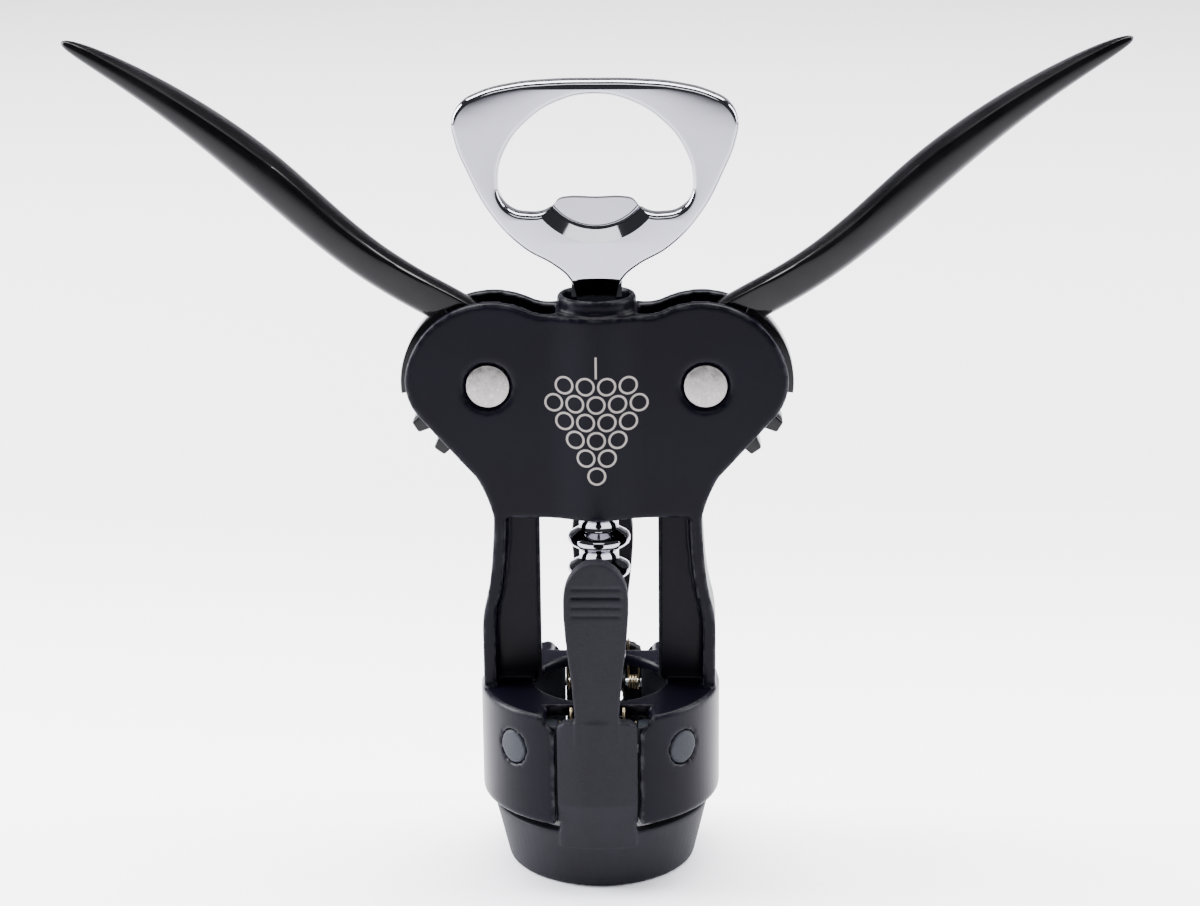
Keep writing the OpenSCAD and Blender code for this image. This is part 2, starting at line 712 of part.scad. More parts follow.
// double-legged torsion spring on the right-hand end of the front jaw's pin
spring_count = spring_turns * 12;
function coil_point(i) = let (a = 180 + 30 * i)
    [spring_in_x + (spring_out_x - spring_in_x) * i / spring_count,
     -jaw_pin_y + spring_mean_r * cos(a), jaw_pin_z + spring_mean_r * sin(a)];
spring_path = concat(
    [[spring_in_x, -jaw_pin_y - spring_mean_r, jaw_pin_z + spring_leg],
     [spring_in_x, -jaw_pin_y - spring_mean_r, jaw_pin_z + 1]],
    [for (i = [0:spring_count - 6]) coil_point(i)],
    [[spring_out_x, -jaw_pin_y + spring_mean_r, jaw_pin_z + 1],
     [spring_out_x, -jaw_pin_y + spring_mean_r + 0.3, carrier_top]]);

module jaw_spring() {
    color([0.73, 0.62, 0.42]) loft([for (i = [0:len(spring_path) - 1])
        tube_ring(spring_path, i, spring_wire_r, 8, [1, 0.02, 0.03])]);
}

module jaw_spring_front_right() {
    jaw_spring();
}

module jaw_spring_front_left() {
    mirror([1, 0, 0]) jaw_spring();
}

module jaw_spring_rear_right() {
    mirror([0, 1, 0]) jaw_spring();
}

module jaw_spring_rear_left() {
    rotate([0, 0, 180]) jaw_spring();
}

module pivot_rivet_right() {
    pivot_rivet();
}

module pivot_rivet_left() {
    mirror([1, 0, 0]) pivot_rivet();
}

frame();
pivot_rivet_left();
pivot_rivet_right();
wing_left();
wing_right();
rack_sleeve();
upper_washer();
lower_washer();
spindle();
worm();
handle();
handle_pin();
jaw_carrier_left();
jaw_carrier_right();
jaw_front();
jaw_rear();
jaw_pin_front();
jaw_pin_rear();
jaw_spring_front_left();
jaw_spring_front_right();
jaw_spring_rear_left();
jaw_spring_rear_right();
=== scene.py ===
"""Looks of a lever corkscrew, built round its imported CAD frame."""

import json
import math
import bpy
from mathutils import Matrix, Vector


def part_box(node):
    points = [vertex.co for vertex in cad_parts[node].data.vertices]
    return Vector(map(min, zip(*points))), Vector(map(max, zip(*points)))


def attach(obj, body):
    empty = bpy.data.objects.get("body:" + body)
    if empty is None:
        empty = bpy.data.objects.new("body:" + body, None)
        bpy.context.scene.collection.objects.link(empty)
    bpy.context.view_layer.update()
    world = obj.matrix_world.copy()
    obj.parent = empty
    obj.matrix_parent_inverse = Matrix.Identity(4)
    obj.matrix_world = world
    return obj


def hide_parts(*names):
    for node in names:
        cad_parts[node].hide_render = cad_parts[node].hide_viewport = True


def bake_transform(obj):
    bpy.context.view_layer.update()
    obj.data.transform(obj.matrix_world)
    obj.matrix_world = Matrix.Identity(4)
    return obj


bl_info = {
    "name": "Lever corkscrew",
    "version": (1, 0, 0),
    "blender": (4, 5, 0),
    "location": "View3D > Sidebar > Corkscrew",
    "description": "Builds the finished pieces of a lever corkscrew on its packed frame",
    "category": "Object",
}

import bmesh
import bpy
from bpy.props import FloatProperty, FloatVectorProperty, IntProperty, PointerProperty
from mathutils import Matrix, Vector

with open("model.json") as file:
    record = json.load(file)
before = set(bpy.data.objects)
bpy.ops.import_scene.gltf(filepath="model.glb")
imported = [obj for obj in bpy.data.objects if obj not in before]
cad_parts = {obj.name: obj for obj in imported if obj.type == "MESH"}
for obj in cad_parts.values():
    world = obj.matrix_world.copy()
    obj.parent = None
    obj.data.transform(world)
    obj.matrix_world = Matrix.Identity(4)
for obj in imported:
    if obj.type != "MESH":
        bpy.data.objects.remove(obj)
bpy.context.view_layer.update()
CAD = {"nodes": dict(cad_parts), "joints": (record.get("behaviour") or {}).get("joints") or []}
NODES = CAD["nodes"]
PIVOTS = {j["child"]: Vector(j["pos_m"]) for j in CAD["joints"] if j.get("pos_m")}
MM = 0.001
UP = Vector((0, 0, 1))


def mm(*values):
    """A vector given in millimetres."""
    return Vector([v * MM for v in values])


# ---------- shader helpers ----------


class Value:
    """A number in a shader that can be used in sums; each sum adds its Math node."""

    def __init__(self, finish, socket):
        self.finish, self.socket = finish, socket

    def _with(self, operation, *operands, clamp=False):
        node = self.finish.tree.nodes.new("ShaderNodeMath")
        node.operation, node.use_clamp = operation, clamp
        for socket, operand in zip(node.inputs, operands):
            self.finish.feed(socket, operand)
        return Value(self.finish, node.outputs[0])

    def __add__(self, other):
        return self._with("ADD", self, other)

    __radd__ = __add__

    def __sub__(self, other):
        return self._with("SUBTRACT", self, other)

    def __rsub__(self, other):
        return self._with("SUBTRACT", other, self)

    def __mul__(self, other):
        return self._with("MULTIPLY", self, other)

    __rmul__ = __mul__

    def __truediv__(self, other):
        return self._with("DIVIDE", self, other)

    def __rtruediv__(self, other):
        return self._with("DIVIDE", other, self)

    def __pow__(self, other):
        return self._with("POWER", self, other)

    def clamped(self):
        return self._with("ADD", self, 0.0, clamp=True)

    def least(self, other):
        return self._with("MINIMUM", self, other)

    def most(self, other):
        return self._with("MAXIMUM", self, other)

    def size(self):
        return self._with("ABSOLUTE", self)

    def step(self, low, high):
        """0 below low, 1 above high and smooth between them."""
        node = self.finish.node(
            "MapRange",
            {"interpolation_type": "SMOOTHSTEP"},
            {"Value": self, "From Min": low, "From Max": high},
        )
        return node["Result"]


class Finish:
    """A procedural material with one Principled shader."""

    def __init__(self, name, **settings):
        self.material = bpy.data.materials.new(name)
        self.material.use_nodes = True
        self.tree = self.material.node_tree
        self.tree.nodes.clear()
        out = self.tree.nodes.new("ShaderNodeOutputMaterial")
        self.shader = self.tree.nodes.new("ShaderNodeBsdfPrincipled")
        self.tree.links.new(self.shader.outputs[0], out.inputs[0])
        self.set(**settings)

    def feed(self, socket, value):
        if isinstance(value, Value):
            self.tree.links.new(value.socket, socket)
        elif isinstance(value, (int, float)):
            if hasattr(socket.default_value, "__len__"):
                value = [value] * len(socket.default_value)
            socket.default_value = value
        else:
            value = list(value)
            if socket.type == "RGBA" and len(value) == 3:
                value.append(1.0)
            socket.default_value = value

    def set(self, **inputs):
        """Sets or links sockets of the shader; the name's underscores stand for spaces."""
        for name, value in inputs.items():
            self.feed(self.shader.inputs[name.replace("_", " ")], value)
        return self

    def node(self, kind, settings=None, inputs=None):
        """Adds a node, and returns its outputs by name."""
        node = self.tree.nodes.new("ShaderNode" + kind)
        for name, value in (settings or {}).items():
            setattr(node, name, value)
        for key, value in (inputs or {}).items():
            self.feed(node.inputs[key], value)
        return {o.name: Value(self, o) for o in node.outputs if o.enabled}

    def place(self, scale=(1, 1, 1)):
        """Object coordinates in millimetres, stretched by scale."""
        here = self.node("TexCoord")["Object"]
        return self.node("Mapping", inputs={"Vector": here, "Scale": [1000 * s for s in scale]})["Vector"]

    def noise(self, size, detail=2.0, roughness=0.5, stretch=(1, 1, 1), distortion=0.0):
        """Noise from 0 to 1 whose spots are about size millimetres across."""
        inputs = {
            "Vector": self.place(stretch),
            "Scale": 1.0 / size,
            "Detail": detail,
            "Roughness": roughness,
            "Distortion": distortion,
        }
        noise = self.node("TexNoise", {"noise_dimensions": "3D"}, inputs)
        return noise.get("Fac") or noise["Factor"]

    def blend(self, amount, first, second):
        """A colour that goes from first to second as amount goes from 0 to 1."""
        node = self.tree.nodes.new("ShaderNodeMix")
        node.data_type = "RGBA"
        self.feed(node.inputs["Factor"], amount)
        self.feed(node.inputs[6], first)
        self.feed(node.inputs[7], second)
        return Value(self, node.outputs[2])

    def bump(self, height, strength, distance):
        """Raises the surface by height; distance is in millimetres."""
        inputs = {"Strength": strength, "Distance": distance * MM, "Height": height}
        return self.set(Normal=self.node("Bump", inputs=inputs)["Normal"])


def grape_etching(f):
    """Mask of a small bunch of grapes, drawn in thin lines on the front plate only."""
    here = f.node("SeparateXYZ", inputs={"Vector": f.place()})
    x, y, z = here["X"], here["Y"], here["Z"]
    mask = None
    for row, count in enumerate((4, 5, 4, 3, 2, 1)):
        height = 92.5 - 3.3 * row
        nearest = None
        for i in range(count):
            dx, dz = x - (i - (count - 1) / 2) * 3.8, z - height
            away = (dx * dx + dz * dz) ** 0.5
            nearest = away if nearest is None else nearest.least(away)
        line = (nearest - 1.5).size()
        mask = line if mask is None else mask.least(line)
    mask = mask.least(x.size().most((z - 96).size() - 1.8))
    return (1 - mask.step(0.1, 0.26)) * (y * -1).step(4.5, 5)


def satin_black(look):
    """Coated casting: a fine orange peel, edges lightened partly as rubbed wear and partly as a painted edge highlight,
    and an etched bunch of grapes.
    """
    f = Finish("satin_black_coat", Specular_IOR_Level=0.055)
    cloud = f.noise(14, 3.0)
    grain = f.noise(0.5, 2.0)
    # Lighter colour along convex edges: partly rubbed wear, partly a painted highlight along the edges.
    wear_and_edge_highlight = f.node("NewGeometry")["Pointiness"].step(0.515, 0.58) * f.noise(2.4, 4.0, 0.65).step(0.4, 0.62)
    etched = grape_etching(f)
    coat = f.blend(cloud.step(0.3, 0.7), [c * 0.8 for c in look.frame_colour], [c * 1.25 for c in look.frame_colour])
    coat = f.blend(wear_and_edge_highlight * 0.4, coat, (0.09, 0.09, 0.1))
    f.set(Base_Color=f.blend(etched, coat, look.etching_colour), Metallic=etched * 0.85)
    f.set(Roughness=look.frame_roughness - 0.04 + cloud * 0.05 + grain * 0.04 + etched * 0.14)
    return f.bump(grain * 0.6 + f.noise(1.6, 1.0) * 0.4, 0.06, 0.04).material


def gloss_black(look):
    """Deep gloss coat over black, with a long soft ripple and faint handling haze."""
    f = Finish("gloss_black_coat", Specular_IOR_Level=0.06, Coat_Roughness=0.04, Coat_IOR=1.4)
    haze = f.noise(9, 3.0).step(0.35, 0.75)
    f.set(Base_Color=f.blend(haze, look.wing_colour, [c * 1.3 + 0.001 for c in look.wing_colour]))
    f.set(Roughness=look.wing_roughness + haze * 0.06, Coat_Weight=0.28 - haze * 0.08)
    return f.bump(f.noise(3.5, 1.0) * 0.8 + f.noise(0.5, 1.0) * 0.2, 0.06, 0.05).material


def chrome(look):
    """Polished plate with hairline wipe marks and slight haze."""
    f = Finish("polished_chrome", Metallic=1.0)
    haze = f.noise(11, 3.0).step(0.3, 0.75)
    wipes = f.noise(0.45, 2.0, stretch=(0.12, 1, 1)).step(0.62, 0.8)
    f.set(Base_Color=f.blend(haze, look.chrome_colour, [c * 0.94 for c in look.chrome_colour]))
    f.set(Roughness=0.045 + haze * 0.035 + wipes * 0.03)
    return f.bump(f.noise(6, 1.0), 0.04, 0.05).material


def spun_steel(look):
    """Dull headed rivet: mottled grey with small bright and dark spots."""
    f = Finish("spun_steel", Metallic=1.0)
    mottle = f.noise(1.3, 4.0, 0.6).step(0.35, 0.66)
    spots = f.noise(0.5, 2.0).step(0.58, 0.7)
    base = f.blend(mottle, [c * 0.72 for c in look.rivet_colour], [c * 1.02 for c in look.rivet_colour])
    f.set(Base_Color=f.blend(spots * 0.5, base, [c * 1.5 for c in look.rivet_colour]))
    f.set(Roughness=0.34 + mottle * 0.16 - spots * 0.08)
    return f.bump(mottle * 0.6 + spots * 0.4, 0.25, 0.06).material


def nylon(name, colour, roughness):
    """Moulded nylon with a fine matt grain and faint flow marks."""
    f = Finish(name, Specular_IOR_Level=0.11)
    flow = f.noise(7, 2.0, stretch=(1, 1, 0.35)).step(0.3, 0.7)
    grain = f.noise(0.28, 2.0)
    coarse = f.noise(0.9, 1.0)
    tint = f.blend(flow, [c * 0.84 for c in colour], [c * 1.12 for c in colour])
    f.set(Base_Color=f.blend(grain.step(0.5, 0.72) * 0.5, tint, [c * 1.9 for c in colour]))
    f.set(Roughness=roughness - 0.05 + grain * 0.1)
    return f.bump(grain * 0.6 + coarse * 0.4, 0.35, 0.07).material


def plain_metal(name, colour, roughness, grain_size):
    """Drawn or ground metal with a light lengthwise grain."""
    f = Finish(name, Metallic=1.0)
    lines = f.noise(grain_size, 3.0, stretch=(0.15, 1, 1))
    f.set(Base_Color=f.blend(lines.step(0.35, 0.7), [c * 0.8 for c in colour], colour))
    f.set(Roughness=roughness + lines * 0.12)
    return f.bump(lines, 0.15, 0.03).material


def studio_surface(look):
    """Pale backdrop with a barely visible unevenness, and painted shade that darkens it towards the back."""
    f = Finish("pale_backdrop", Specular_IOR_Level=0.1, Roughness=0.9)
    patch = f.noise(160, 2.0).step(0.25, 0.8)
    near = f.blend(patch, look.floor_colour, [c * 0.985 for c in look.floor_colour])
    # Painted shade: the backdrop colour darkens towards the back in place of a real fall-off of light.
    far_painted_shade = f.node("SeparateXYZ", inputs={"Vector": f.place()})["Y"].step(0, 240)
    return f.set(Base_Color=f.blend(far_painted_shade, near, [c * 0.64 for c in look.floor_colour])).material


# ---------- mesh helpers ----------


def piece(name, mesh, material, body, slot, *replaced, sharp=40):
    """Shows a mesh as a finished piece that stands for CAD nodes."""
    obj = bpy.data.objects.new(name, mesh)
    bpy.context.scene.collection.objects.link(obj)
    mesh.materials.clear()
    mesh.materials.append(material)
    mesh.shade_smooth()
    mesh.set_sharp_from_angle(angle=math.radians(sharp))
    if isinstance(body, tuple):
        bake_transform(obj)
    else:
        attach(obj, body)
    if replaced:
        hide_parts(*replaced)
    return obj


def settled(mesh, *modifiers):
    """A mesh with modifiers, given as (kind, settings), worked into it."""
    obj = bpy.data.objects.new("work", mesh)
    bpy.context.scene.collection.objects.link(obj)
    for kind, settings in modifiers:
        modifier = obj.modifiers.new(kind.lower(), kind)
        for key, value in settings.items():
            setattr(modifier, key, value)
    shown = obj.evaluated_get(bpy.context.evaluated_depsgraph_get())
    result = bpy.data.meshes.new_from_object(shown)
    bpy.data.objects.remove(obj)
    return result


def merged(node):
    """A copy of a CAD node's mesh with its triangles joined."""
    bm = bmesh.new()
    bm.from_mesh(NODES[node].data)
    bmesh.ops.remove_doubles(bm, verts=bm.verts, dist=0.002 * MM)
    return bm


def as_mesh(bm, name):
    mesh = bpy.data.meshes.new(name)
    bm.to_mesh(mesh)
    bm.free()
    return mesh


def cast(node, grid, rounds):
    """A copy of a CAD node with all its edges rounded as on a casting or moulding."""
    return settled(
        as_mesh(merged(node), node + "_finish"),
        ("REMESH", {"mode": "VOXEL", "voxel_size": grid * MM, "use_smooth_shade": True}),
        ("SMOOTH", {"factor": 0.5, "iterations": rounds}),
    )


def turned(node, radius, sharp=30, segments=3):
    """A copy of a CAD node whose sharp edges have a small radius."""
    bm = merged(node)
    bmesh.ops.dissolve_limit(bm, angle_limit=math.radians(1), verts=bm.verts, edges=bm.edges)
    edges = [e for e in bm.edges if len(e.link_faces) == 2 and e.calc_face_angle() > math.radians(sharp)]
    bmesh.ops.bevel(bm, geom=edges, offset=radius * MM, offset_type="OFFSET", affect="EDGES", segments=segments,
                    profile=0.5, material=-1, clamp_overlap=True)
    return as_mesh(bm, node + "_finish")


def lathe(profile, steps=96, axis=UP, centre=(0, 0, 0)):
    """A solid spun from a closed chain of (radius, height) pairs in millimetres."""
    bm = bmesh.new()
    verts = [bm.verts.new(mm(r, 0, z)) for r, z in profile]
    for a, b in zip(verts, verts[1:] + verts[:1]):
        if a.co.x > 0 or b.co.x > 0:
            bm.edges.new((a, b))
    bmesh.ops.spin(bm, geom=bm.verts[:] + bm.edges[:], cent=(0, 0, 0), axis=(0, 0, 1), angle=math.tau,
                   steps=steps, use_merge=True, use_duplicate=False)
    bmesh.ops.remove_doubles(bm, verts=bm.verts, dist=0.001 * MM)
    bmesh.ops.recalc_face_normals(bm, faces=bm.faces)
    turn = UP.rotation_difference(Vector(axis)).to_matrix().to_4x4()
    bmesh.ops.transform(bm, matrix=Matrix.Translation(centre) @ turn, verts=bm.verts)
    return bm


def join(target, other):
    """Adds one bmesh to another."""
    mesh = as_mesh(other, "part")
    target.from_mesh(mesh)
    bpy.data.meshes.remove(mesh)


def flat_curve(name, loops, thickness, edge, steps=24):
    """A plate cut to closed smooth loops of (x, z) points in millimetres, its edges rounded by edge. It lies across Y."""
    curve = bpy.data.curves.new(name, "CURVE")
    curve.dimensions, curve.fill_mode, curve.resolution_u = "2D", "BOTH", steps
    curve.extrude = (thickness / 2 - edge) * MM
    curve.bevel_depth, curve.bevel_resolution, curve.offset = edge * MM, 5, -edge * MM
    for loop in loops:
        spline = curve.splines.new("BEZIER")
        spline.use_cyclic_u = True
        spline.bezier_points.add(len(loop) - 1)
        for point, (x, z, *kind) in zip(spline.bezier_points, loop):
            point.co = mm(x, z, 0)
            point.handle_left_type = point.handle_right_type = kind[0] if kind else "AUTO"
    obj = bpy.data.objects.new(name, curve)
    bpy.context.scene.collection.objects.link(obj)
    mesh = bpy.data.meshes.new_from_object(obj.evaluated_get(bpy.context.evaluated_depsgraph_get()))
    bpy.data.objects.remove(obj)
    bm = bmesh.new()
    bm.from_mesh(mesh)
    bpy.data.meshes.remove(mesh)
    bmesh.ops.remove_doubles(bm, verts=bm.verts, dist=0.001 * MM)
    bmesh.ops.rotate(bm, verts=bm.verts, cent=(0, 0, 0), matrix=Matrix.Rotation(math.radians(90), 3, "X"))
    return bm


def mirrored(loop):
    """A right-hand half loop from top to bottom, closed with its left-hand half."""
    left = [(-x, z, *kind) for x, z, *kind in reversed(loop) if x > 0]
    return loop + left


# ---------- properties ----------


class Looks(bpy.types.PropertyGroup):
    """Colours and surface settings of the finishes."""

    frame_colour: FloatVectorProperty(name="Frame colour", description="Colour of the satin coat", subtype="COLOR", default=(0.0016, 0.0014, 0.0034), min=0, max=1)
    etching_colour: FloatVectorProperty(name="Etching colour", description="Colour of the etched metal", subtype="COLOR", default=(0.2, 0.185, 0.17), min=0, max=1)
    frame_roughness: FloatProperty(name="Frame roughness", description="Roughness of the satin coat", subtype="FACTOR", default=0.3, min=0, max=1)
    wing_colour: FloatVectorProperty(name="Wing colour", description="Colour of the gloss coat", subtype="COLOR", default=(0.0012, 0.0011, 0.0015), min=0, max=1)
    wing_roughness: FloatProperty(name="Wing roughness", description="Roughness under the gloss coat", subtype="FACTOR", default=0.2, min=0, max=1)
    chrome_colour: FloatVectorProperty(name="Chrome colour", description="Colour of the chrome plate", subtype="COLOR", default=(0.31, 0.31, 0.34), min=0, max=1)
    rivet_colour: FloatVectorProperty(name="Rivet colour", description="Colour of the pivot rivets", subtype="COLOR", default=(0.26, 0.245, 0.235), min=0, max=1)
    jaw_colour: FloatVectorProperty(name="Jaw colour", description="Colour of the clamp's nylon", subtype="COLOR", default=(0.0052, 0.0051, 0.0075), min=0, max=1)
    peg_colour: FloatVectorProperty(name="Peg colour", description="Colour of the carriers and their pegs", subtype="COLOR", default=(0.011, 0.0125, 0.016), min=0, max=1)
    floor_colour: FloatVectorProperty(name="Backdrop colour", description="Colour of the studio backdrop", subtype="COLOR", default=(0.9, 0.885, 0.93), min=0, max=1)


class Sizes(bpy.types.PropertyGroup):
    """Sizes of the finished pieces, in millimetres unless said otherwise."""

    cast_grid: FloatProperty(name="Casting grid", description="Cell size used to round the frame's edges, in millimetres", default=0.5, min=0.3, max=1)
    mould_grid: FloatProperty(name="Moulding grid", description="Cell size used to round the clamp's edges, in millimetres", default=0.3, min=0.2, max=1)
    handle_edge: FloatProperty(name="Handle edge radius", description="Radius along the handle's edges, in millimetres", default=0.9, min=0.2, max=1.6)
    tongue_depth: FloatProperty(name="Tongue hollow", description="Depth of the hollow in front of the lifter's tongue, in millimetres", default=1.25, min=0.3, max=1.6)
    ring_pitch: FloatProperty(name="Ring pitch", description="Distance from ring to ring on the rack, in millimetres", default=5.9, min=4, max=8)
    wing_length: FloatProperty(name="Wing length", description="Distance from pivot to wing tip, in millimetres", default=95.8, min=60, max=130)
    wing_angle: FloatProperty(name="Wing angle", description="Rise of the wing's chord above level", subtype="ANGLE", default=math.radians(39.5), min=0, max=1.4)
    gear_teeth: IntProperty(name="Gear teeth", description="Teeth on a full turn of the wing's gear", default=16, min=10, max=30)


# ---------- pieces ----------


class CORKSCREW_OT_frame(bpy.types.Operator):
    """Cast frame: side plates, collar, legs and bell"""

    bl_idname = "corkscrew.frame"
    bl_label = "Frame"

    def execute(self, context):
        scene = context.scene
        mesh = cast("frame", scene.corkscrew_sizes.cast_grid, 2)
        piece("frame_casting", mesh, satin_black(scene.corkscrew_looks), "frame", "frame_black", "frame", sharp=180)
        return {"FINISHED"}


class CORKSCREW_OT_rivets(bpy.types.Operator):
    """Pivot rivets with slightly domed heads"""

    bl_idname = "corkscrew.rivets"
    bl_label = "Pivot rivets"

    def execute(self, context):
        steel = spun_steel(context.scene.corkscrew_looks)
        for side in ("left", "right"):
            node = "pivot_rivet_" + side
            low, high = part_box(node)
            centre, half, head = (low + high) / 2, (high.y - low.y) / 2 / MM, (high.x - low.x) / 2 / MM
            dome = [(head * math.sin(a), half - 0.35 * (1 - math.cos(a * 1.4))) for a in (0, 0.35, 0.7, 1.0, 1.2)]
            profile = dome + [(head - 0.08, half - 0.42), (head, half - 0.62), (head, half - 1.05), (2.95, half - 1.1)]
            profile += [(r, -z) for r, z in reversed(profile)]
            bm = lathe(profile, 64, (0, 1, 0), centre)
            piece(node + "_finish", as_mesh(bm, node + "_finish"), steel, "frame", "rivet_steel", node)
        return {"FINISHED"}


WING_STATIONS = [
    # part of the length, height over the chord, half thickness, half width, squareness, crease along the top edges
    (0.06, 7.3, 2.7, 2.9, 1.0, 0.8), (0.14, 5.8, 3.35, 3.05, 1.0, 0.8), (0.21, 4.4, 3.35, 3.3, 0.9, 0.7), (0.31, 3.2, 3.4, 4.4, 0.75, 0.45),
    (0.42, 3.3, 3.6, 5.2, 0.62, 0.35), (0.55, 4.2, 3.8, 5.5, 0.6, 0.45), (0.67, 4.25, 3.3, 5.4, 0.66, 0.7), (0.79, 3.5, 2.55, 4.6, 0.75, 0.9),
    (0.89, 2.2, 1.95, 3.3, 0.8, 0.9), (0.96, 0.95, 1.4, 2.0, 0.8, 0.9), (1.0, 0.1, 0.6, 0.8, 0.8, 0.5),
]


class CORKSCREW_OT_wings(bpy.types.Operator):
    """Wings with their gear sectors"""

    bl_idname = "corkscrew.wings"
    bl_label = "Wings"

    def section(self, square):
        """Corners of a section, as (up, side): top edge, crown, top edge, then round the side and the belly."""
        up, side = 0.62 + 0.3 * square, 0.76 + 0.22 * square
        return [(up, side), (1.07, 0), (up, -side), (0.02, -0.98), (-0.78, -0.8), (-1.04, 0), (-0.78, 0.8), (0.02, 0.98)]

    def arm(self, sizes):
        """The right-hand arm, from the pivot, with a crease along both top edges."""
        bm = bmesh.new()
        crease = bm.edges.layers.float.new("crease_edge")
        ring = bmesh.ops.create_circle(bm, segments=8, radius=1, cap_ends=False)["verts"]
        points = [(t * sizes.wing_length, height) for t, height, *_ in WING_STATIONS]
        spans = zip([points[0]] + points[:-1], points[1:] + [points[-1]])
        edges = list(bm.edges)
        bmesh.ops.contextual_create(bm, geom=edges)
        for (along, height), (a, b), (_, _, thick, width, square, sharp) in zip(points, spans, WING_STATIONS):
            slope = math.atan2(b[1] - a[1], b[0] - a[0])
            if (along, height) != points[0]:
                new = bmesh.ops.extrude_edge_only(bm, edges=edges)["geom"]
                last, ring = ring, [next(e.other_vert(v) for e in v.link_edges if e.other_vert(v) in new) for v in ring]
                edges = [e for e in new if isinstance(e, bmesh.types.BMEdge) and all(v in ring for v in e.verts)]
                for i in (0, 2):
                    bm.edges.get((last[i], ring[i]))[crease] = sharp
            turn = Matrix.Rotation(-slope, 3, "Y")
            for vert, (up, side) in zip(ring, self.section(square)):
                vert.co = mm(along, 0, height) + turn @ mm(0, side * width, up * thick)
        bmesh.ops.contextual_create(bm, geom=edges)
        bmesh.ops.recalc_face_normals(bm, faces=bm.faces)
        bmesh.ops.rotate(bm, verts=bm.verts, cent=(0, 0, 0), matrix=Matrix.Rotation(-sizes.wing_angle, 3, "Y"))
        return settled(as_mesh(bm, "arm"), ("SUBSURF", {"levels": 3, "render_levels": 3}))

    def gear(self, sizes, half_width):
        """The right-hand hub with its teeth and the solid lobe under the arm."""
        root, tip = 13.2, 15.75
        step = math.tau / sizes.gear_teeth
        bm = lathe([(3.1, -half_width), (root - 0.2, -half_width), (root, 0.2 - half_width), (root, half_width - 0.2),
                    (root - 0.2, half_width), (3.1, half_width)], 96, (0, 1, 0))
        for i in range(-1, 7):
            tooth = bmesh.new()
            bmesh.ops.create_cube(tooth, size=1)
            tall = tip - root + 1.2
            bmesh.ops.scale(tooth, vec=(tall * MM, 2 * (half_width - 0.02) * MM, 3.8 * MM), verts=tooth.verts)
            bmesh.ops.translate(tooth, vec=mm(root - 1.2 + tall / 2, 0, 0), verts=tooth.verts)
            outer = [v for v in tooth.verts if v.co.x > root * MM]
            bmesh.ops.scale(tooth, vec=(1, 1, 0.6), verts=outer)
            bmesh.ops.bevel(tooth, geom=tooth.edges[:], offset=0.4 * MM, offset_type="OFFSET", affect="EDGES",
                            segments=3, profile=0.5, material=-1)
            turn = math.radians(181.9) + (i + 0.5) * step
            bmesh.ops.rotate(tooth, verts=tooth.verts, cent=(0, 0, 0), matrix=Matrix.Rotation(-turn, 3, "Y"))
            join(bm, tooth)
        lobe = bmesh.new()
        bmesh.ops.create_cone(lobe, cap_ends=True, segments=96, radius1=tip * MM, radius2=tip * MM, depth=2 * (half_width - 0.01) * MM)
        bmesh.ops.rotate(lobe, verts=lobe.verts, cent=(0, 0, 0), matrix=Matrix.Rotation(math.radians(90), 3, "X"))
        for angle, side in ((-7, -1), (61.5, 1)):
            normal = Matrix.Rotation(-math.radians(angle), 3, "Y") @ Vector((0, 0, side))
            bmesh.ops.bisect_plane(lobe, geom=lobe.verts[:] + lobe.edges[:] + lobe.faces[:], plane_co=(0, 0, 0),
                                   plane_no=normal, clear_outer=True)
            bmesh.ops.holes_fill(lobe, edges=lobe.edges[:])
        bmesh.ops.recalc_face_normals(lobe, faces=lobe.faces)
        rim = [e for e in lobe.edges if len(e.link_faces) == 2 and e.calc_face_angle() > 1.2 and abs(e.verts[0].co.y - e.verts[1].co.y) < 0.1 * MM]
        bmesh.ops.bevel(lobe, geom=rim, offset=0.25 * MM, offset_type="OFFSET", affect="EDGES", segments=2, profile=0.5, material=-1)
        join(bm, lobe)
        return bm

    def execute(self, context):
        sizes = context.scene.corkscrew_sizes
        gloss = gloss_black(context.scene.corkscrew_looks)
        for side, flip in (("right", 1), ("left", -1)):
            node = "wing_" + side
            bm = self.gear(sizes, 3.2)
            bm.from_mesh(self.arm(sizes))
            bmesh.ops.scale(bm, vec=(flip, 1, 1), verts=bm.verts)
            if flip < 0:
                bmesh.ops.reverse_faces(bm, faces=bm.faces)
            bmesh.ops.translate(bm, vec=PIVOTS[node], verts=bm.verts)
            piece(node + "_finish", as_mesh(bm, node + "_finish"), gloss, node, "wing_black", node, sharp=35)
        return {"FINISHED"}


class CORKSCREW_OT_rack(bpy.types.Operator):
    """Ringed rack sleeve"""

    bl_idname = "corkscrew.rack"
    bl_label = "Rack sleeve"

    def execute(self, context):
        low, high = (corner.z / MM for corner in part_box("rack_sleeve"))
        pitch, ring, neck, rim = context.scene.corkscrew_sizes.ring_pitch, 5.7, 3.6, 0.725
        top_ring = high - 2.6
        profile = [(2.0, low), (neck - 0.25, low), (neck, low + 0.25)]
        rows = range(7, -1, -1)
        for z in (top_ring - i * pitch for i in rows):
            foot = rim + (ring - neck) * 0.52
            profile += [(neck, z - foot - 0.25), (neck + 0.25, z - foot), (ring - 0.5, z - rim - 0.26), (ring - 0.16, z - rim + 0.05),
                        (ring, z - rim + 0.45), (ring, z + rim - 0.45), (ring - 0.16, z + rim - 0.05), (ring - 0.5, z + rim + 0.26),
                        (neck + 0.25, z + foot), (neck, z + foot + 0.25)]
        profile += [(neck, high - 0.25), (neck - 0.25, high), (2.0, high)]
        mesh = as_mesh(lathe(profile, 96), "rack_sleeve_finish")
        piece("rack_sleeve_finish", mesh, chrome(context.scene.corkscrew_looks), "rack", "chrome", "rack_sleeve", sharp=50)
        return {"FINISHED"}


